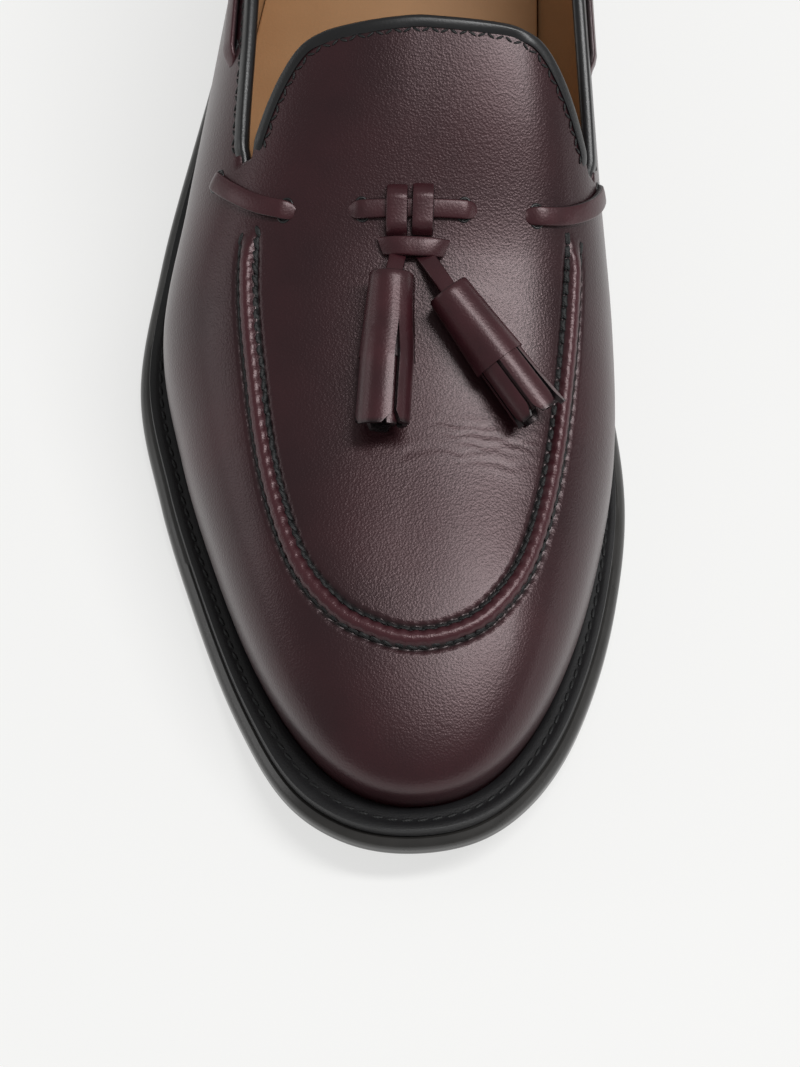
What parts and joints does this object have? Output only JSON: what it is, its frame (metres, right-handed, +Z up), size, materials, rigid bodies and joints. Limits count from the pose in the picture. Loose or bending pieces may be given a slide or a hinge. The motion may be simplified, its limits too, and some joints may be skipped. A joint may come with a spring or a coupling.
{
  "type": "tassel loafer",
  "caption": "Men's tassel loafer for the right foot: moccasin-toe calf upper with a leather lace, knot and tassels, on a welted leather sole with a low stacked heel.",
  "frame": {"origin": "floor level, under the middle of the outline of the whole shoe", "axes": "+Y from toe to heel, +X towards the inner side of the foot, +Z up"},
  "size_m": [0.1137, 0.3046, 0.0888],
  "materials": {
    "upper_calf": "satin, fine grain",
    "binding_leather": "satin",
    "lace_leather": "satin",
    "insole_leather": "matt",
    "welt_leather": "waxed",
    "outsole_leather": "waxed edge",
    "heel_leather": "waxed edge",
    "top_piece_rubber": "matt"
  },
  "bodies": {
    "root": {"upper": "upper_calf", "tongue_binding": "binding_leather", "collar_binding": "binding_leather", "insole": "insole_leather", "welt": "welt_leather", "outsole": "outsole_leather", "heel_block": "heel_leather", "heel_top_piece": "top_piece_rubber", "lace_left": "lace_leather", "lace_right": "lace_leather", "lace_front": "lace_leather", "lace_collar_left": "lace_leather", "lace_collar_right": "lace_leather", "loop_left": "lace_leather", "loop_right": "lace_leather", "knot_wrap": "lace_leather", "neck_left": "lace_leather", "neck_right": "lace_leather", "tassel_left": "lace_leather", "tassel_right": "lace_leather"}
  },
  "joints": []
}
